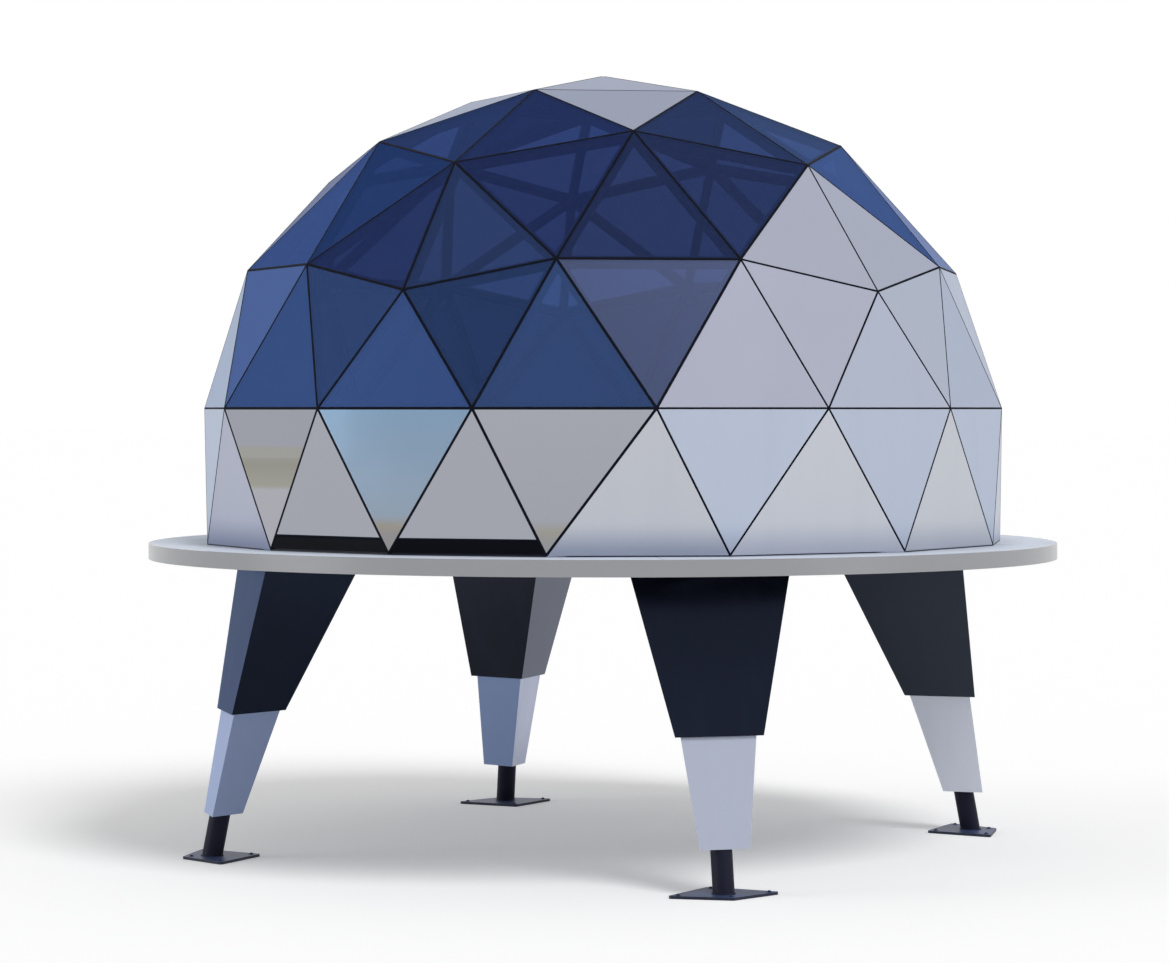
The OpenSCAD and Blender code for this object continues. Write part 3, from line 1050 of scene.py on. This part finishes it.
    def build_flashing(self, sheet: CoilCoatedSheet) -> None:
        """Lay the folded flashing over the sole ring, under the foot of the white sheets.

        Args:
            sheet: The finish of the flashing.
        """
        half_thick, half_high = self.flashing_half
        middle_z = self.deck_z + half_high
        rows: list[Edge] = []
        for key, skins in self.joints().items():
            at_foot = all(abs(p[2] - self.foot_z) < NEAR for p in key)
            if at_foot and skins == [Skin.SHEET]:
                ends = [Vector((p[0], p[1], middle_z)) for p in key]
                out = (ends[0] + ends[1]) / 2
                out.z = 0.0
                shift = out.normalized() * -half_thick
                rows.append((ends[0] + shift, ends[1] + shift))
        # A four-sided profile reaches its corners, so its sides lie a root of two nearer
        sizes = {
            "Half Width": half_high * math.sqrt(2), "Half Height": half_thick * math.sqrt(2),
            "Sides": 4, "Turn": math.pi / 4, "Centre": Vector((0.0, 0.0, middle_z)),
        }
        tree = sweep_tree("flashing_strip", sheet.material())
        build_trim("foot_flashing", rows, tree, sizes)

    def dress(self) -> None:
        """Put the finishes on the dome's CAD nodes and build its trim."""
        sheet = CoilCoatedSheet(foot_z=self.foot_z)
        sheet.dress("star_panels", "peak_panels", "belt_panels", "base_panels")
        # Painted reflection: the roof panes' tones by azimuth stand in for the sky and lamps they reflect
        roof = SolarControlGlass(
            "solar_control_float_glass_roof_lower",
            painted_pane_light=(
                (-180, "#3f5192"), (-30, "#344275"), (0, "#3f5484"), (14, "#344275"), (30, "#394774"),
                (75, "#3f5594"), (100, "#4f72bb"), (126, "#3f5192"),
            ),
            passed="#b4c0da", metal=0.6, gloss=(0.12, 0.2), solid_ahead=0.25,
        )
        roof.dress("roof_glass_lower")
        # Painted reflection in the upper roof panes' tones by azimuth
        upper_roof = replace(
            roof, name="solar_control_float_glass_roof_upper",
            painted_pane_light=((-180, "#46528a"), (30, "#525c8a"), (75, "#4c629a")), solid_aslant=0.3,
        )
        upper_roof.dress("roof_glass_upper")
        # Painted reflection in the belt panes' tones by azimuth
        belt = SolarControlGlass(
            "solar_control_float_glass_belt",
            painted_pane_light=((-180, "#748fd0"), (-30, "#4a66a0"), (18, "#5472ac"), (30, "#677296")),
            passed="#bcc8e2", metal=0.3, gloss=(0.28, 0.36), solid_aslant=0.8, back_shade="#dcdcdc",
        )
        belt.dress("belt_glass")
        MirrorCoatedGlass(foot_z=self.foot_z, wall=self.wall).dress("base_mirror_glass")
        sill = PowderCoat("powder_coated_sill", coat="#07080f", dust="#121622", sheen_level=0.05)
        sill.dress("sill_strips")
        tube = PowderCoat("powder_coated_frame_tube", coat="#191d2c", dust="#3d4354", dusty=0.2)
        rows = ("crown", "upper_roof", "lower_roof", "belt", "base")
        tube.dress(*(f"{row}_frames" for row in rows), "sole_ring")
        self.build_seals(ExtrudedRubber())
        self.build_flashing(sheet)


@dataclass
class Deck:
    """The round deck: its floor, rim and steel."""

    wall_r: float

    def dress(self) -> None:
        """Put the finishes on the deck's CAD nodes."""
        DeckSheet(wall_r=self.wall_r).dress("deck_floor")
        # Its dust colour is dust and a painted highlight along the rim's top edge
        rim = PowderCoat(
            "powder_coated_rim", coat="#949599", dust="#bcc5d3", dusty=0.5, satin=(0.2, 0.265),
            sheen_level=0.5,
        )
        rim.dress("deck_rim")
        steel = PowderCoat("powder_coated_deck_steel", coat="#363a44", dust="#5b606b", dusty=0.2)
        steel.dress("deck_ring_beam", "deck_main_beams", "deck_joists")


class Corner(Enum):
    """The four legs, each with its azimuth."""

    FRONT_RIGHT = 45
    BACK_RIGHT = 135
    BACK_LEFT = 225
    FRONT_LEFT = 315

    @property
    def axes(self) -> tuple[Vector, Vector]:
        """The level directions away from the pod's axis and round it."""
        out = at(1.0, 0.0, self.value)
        return out, Vector((-out.y, out.x, 0.0))

    def node(self, piece: str) -> str:
        """Return the CAD node of one of the leg's pieces."""
        return f"{piece}_{self.name.lower()}"


@dataclass
class Legs:
    """The four legs, with the weld round each post's foot and the anchor bolts."""

    post_r: float = 0.075
    lean: float = 10.8
    weld: float = 0.009
    weld_steps: int = 40
    weld_sides: int = 8
    # The beads turn their backs to a point far over the pod
    weld_centre: float = 50.0
    bolt_inset: float = 0.062
    # Radius and height
    washer: tuple[float, float] = (0.021, 0.0025)
    nut: tuple[float, float] = (0.0135, 0.005)
    stud: tuple[float, float] = (0.008, 0.003)

    @property
    def long_r(self) -> float:
        """Half the length of the oval in which a leaning post meets its plate."""
        return self.post_r / math.cos(math.radians(self.lean))

    def post_foot(self, corner: Corner) -> Vector:
        """Find the middle of a post where it meets its base plate.

        Args:
            corner: The leg.

        Returns:
            The point on the top of the plate.
        """
        low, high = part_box(corner.node("post"))
        reach = math.hypot(self.long_r, self.post_r) / math.sqrt(2)
        turn = math.radians(corner.value)
        x = high.x - reach if math.sin(turn) > 0 else low.x + reach
        y = low.y + reach if math.cos(turn) > 0 else high.y - reach
        return Vector((x, y, low.z))

    def bolt_places(self, corner: Corner) -> list[Vector]:
        """List where the anchor bolts stand, in from the corners of a base plate.

        Args:
            corner: The leg.

        Returns:
            Four points on the top of the plate.
        """
        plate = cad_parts[corner.node("base")].data
        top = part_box(corner.node("base"))[1].z
        points = [v.co.copy() for v in plate.vertices if abs(v.co.z - top) < NEAR]
        out, along = corner.axes
        tips = [max(points, key=lambda p, way=way: p.dot(way)) for way in (out, along, -out, -along)]
        middle = (tips[1] + tips[3]) / 2
        return [tip + (middle - tip).normalized() * self.bolt_inset for tip in tips]

    def build_welds(self, steel: PowderCoat) -> None:
        """Run a weld bead round the foot of each post.

        Args:
            steel: The finish of the posts.
        """
        rings: list[list[Vector]] = []
        turns = [math.tau * i / self.weld_steps for i in range(self.weld_steps)]
        for corner in Corner:
            foot = self.post_foot(corner)
            out, along = corner.axes
            rings.append([
                foot + out * self.long_r * math.cos(t) + along * self.post_r * math.sin(t)
                for t in turns
            ])
        sizes = {
            "Half Width": self.weld, "Half Height": self.weld, "Sides": self.weld_sides, "Turn": 0.0,
            "Centre": Vector((0.0, 0.0, self.weld_centre)),
        }
        tree = sweep_tree("weld_bead", steel.material())
        build_trim("post_foot_welds", rings, tree, sizes)

    def build_bolts(self, steel: PowderCoat) -> None:
        """Set the anchor bolts on the base plates.

        Args:
            steel: The finish of the bolts.
        """
        points = [(point,) for corner in Corner for point in self.bolt_places(corner)]
        sizes: dict[str, object] = {}
        for piece, size in (("Washer", self.washer), ("Nut", self.nut), ("Stud", self.stud)):
            sizes[f"{piece} Radius"], sizes[f"{piece} Height"] = size
        tree = bolt_tree("anchor_bolt", steel.material())
        build_trim("anchor_bolts", points, tree, sizes)

    def dress(self) -> None:
        """Put the finishes on the legs' CAD nodes and build their fixings."""
        sleeve = LacqueredCladding(
            "lacquered_sleeve", lacquer="#1c202d", mark="#2c3242", glint="#7896cc", gloss=(0.18, 0.26),
            sheen_level=0.2, flake=0.75,
        )
        shroud = LacqueredCladding(
            "lacquered_shroud", lacquer="#abb1c2", mark="#9ba1b4", glint="#a4bcea", gloss=(0.29, 0.35),
            sheen_level=0.3, flake=0.3,
        )
        # Painted light: each leg has its own lit or shaded copy of the cladding, toned by the light that
        # falls on it
        claddings: dict[Corner, tuple[LacqueredCladding, LacqueredCladding]] = {
            Corner.FRONT_LEFT: (
                replace(sleeve, name="lacquered_sleeve_sky_lit", lacquer="#242936", glint="#5f8fbd"),
                replace(shroud, name="lacquered_shroud_sky_lit", lacquer="#99a9cd"),
            ),
            Corner.FRONT_RIGHT: (sleeve, shroud),
            Corner.BACK_LEFT: (
                replace(
                    sleeve, name="lacquered_sleeve_lit_right", lacquer="#171b28", painted_right_light="#343848",
                    glint="#e4e8f2", sheen_level=0.6,
                ),
                replace(
                    shroud, name="lacquered_shroud_lit_right", lacquer="#8597be",
                    painted_right_light="#dfe2f2", mark="#8395ba",
                ),
            ),
            Corner.BACK_RIGHT: (
                replace(sleeve, name="lacquered_sleeve_sunlit", lacquer="#353942", mark="#41454e"),
                replace(shroud, name="lacquered_shroud_sunlit", lacquer="#d6dae6", mark="#c2c7d6"),
            ),
        }
        for corner, (upper, lower) in claddings.items():
            upper.dress(corner.node("sleeve"))
            lower.dress(corner.node("shroud"))
        post = PowderCoat(
            "powder_coated_post", coat="#171929", dust="#2c3048", satin=(0.4, 0.55), sheen_level=0.1
        )
        post.dress(*(corner.node("post") for corner in Corner))
        # Its dust colour is dust and painted sky light on the plate's top
        plate = PowderCoat("powder_coated_base_plate", coat="#1a2034", dust="#4a5a88", dusty=0.85)
        plate.dress(*(corner.node("base") for corner in Corner))
        self.build_welds(post)
        self.build_bolts(plate)


# ---- Studio ----


@dataclass(frozen=True)
class Lamp:
    """A far, soft lamp: its strength, where it hangs in degrees, and how wide it looks."""

    name: str
    strength: float
    azimuth: float
    height: float
    spread: float


@dataclass
class Studio:
    """The pale floor, the soft lamps, the plain world and the camera."""

    camera_turn: float = 29.1
    camera_reach: float = 26.69
    camera_height: float = 3.285
    focal_mm: float = 108.96
    sensor_mm: float = 36.0
    shift: tuple[float, float] = (-0.01574, -0.0621)
    sight: float = 2000.0
    floor_half: float = 400.0
    ambient: float = 0.44
    # A broad key to the upper right, and a low fill on each side
    lamps: tuple[Lamp, ...] = (
        Lamp("key", strength=1.45, azimuth=62.0, height=49.0, spread=22.0),
        Lamp("right_fill", strength=0.35, azimuth=92.0, height=8.0, spread=26.0),
        Lamp("left_fill", strength=1.0, azimuth=-50.0, height=8.0, spread=30.0),
    )
    lamp_reach: float = 20.0

    def build_camera(self) -> None:
        """Set the camera level, aimed at the pod's axis."""
        data = bpy.data.cameras.new("camera")
        data.lens = self.focal_mm
        data.sensor_width = self.sensor_mm
        data.shift_x, data.shift_y = self.shift
        data.clip_end = self.sight
        camera = add_object("camera", data)
        camera.location = at(self.camera_reach, self.camera_height, self.camera_turn)
        camera.rotation_euler = (math.pi / 2, 0.0, math.radians(self.camera_turn))
        bpy.context.scene.camera = camera

    def build_floor(self) -> None:
        """Lay the pale floor, which takes the pod's shadow."""
        half = self.floor_half
        corners = [(-half, -half, 0), (half, -half, 0), (half, half, 0), (-half, half, 0)]
        mesh = bpy.data.meshes.new("studio_floor")
        mesh.from_pydata(corners, [], [(0, 1, 2, 3)])
        mesh.materials.append(StudioPaper().material())
        floor = add_object("studio_floor", mesh)

    def build_world(self) -> None:
        """Light the scene evenly, with a white background for the eye and for gloss."""
        world = bpy.data.worlds.new("studio")
        bpy.context.scene.world = world
        world.use_nodes = True
        world.node_tree.nodes.clear()
        add = partial(add_node, world.node_tree)
        seen = seen_rays(add)
        level = add("MapRange", {"Value": seen, "To Min": self.ambient, "To Max": 1.0})
        light = add("Background", {"Color": "#ffffff", "Strength": level})
        add("OutputWorld", {"Surface": light})

    def build_lamps(self) -> None:
        """Hang the lamps."""
        for lamp in self.lamps:
            data = bpy.data.lights.new(lamp.name, "SUN")
            data.energy = lamp.strength
            data.angle = math.radians(lamp.spread)
            height = math.radians(lamp.height)
            toward = at(math.cos(height), math.sin(height), lamp.azimuth)
            hung = add_object(lamp.name, data)
            hung.rotation_euler = toward.to_track_quat("Z", "Y").to_euler()
            hung.location = toward * self.lamp_reach

    def build(self) -> None:
        """Build the whole studio."""
        bpy.context.scene.view_settings.view_transform = "Standard"
        self.build_camera()
        self.build_floor()
        self.build_world()
        self.build_lamps()
        LOG.info("studio: floor, world, lamps and camera")


def main() -> None:
    """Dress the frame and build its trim."""
    logging.basicConfig(level=logging.INFO, format="%(name)s: %(message)s")
    Studio().build()
    dome = Dome(deck_z=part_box("deck_floor")[1].z)
    dome.dress()
    Deck(wall_r=dome.radius).dress()
    Legs().dress()


if __name__ == "__main__":
    main()
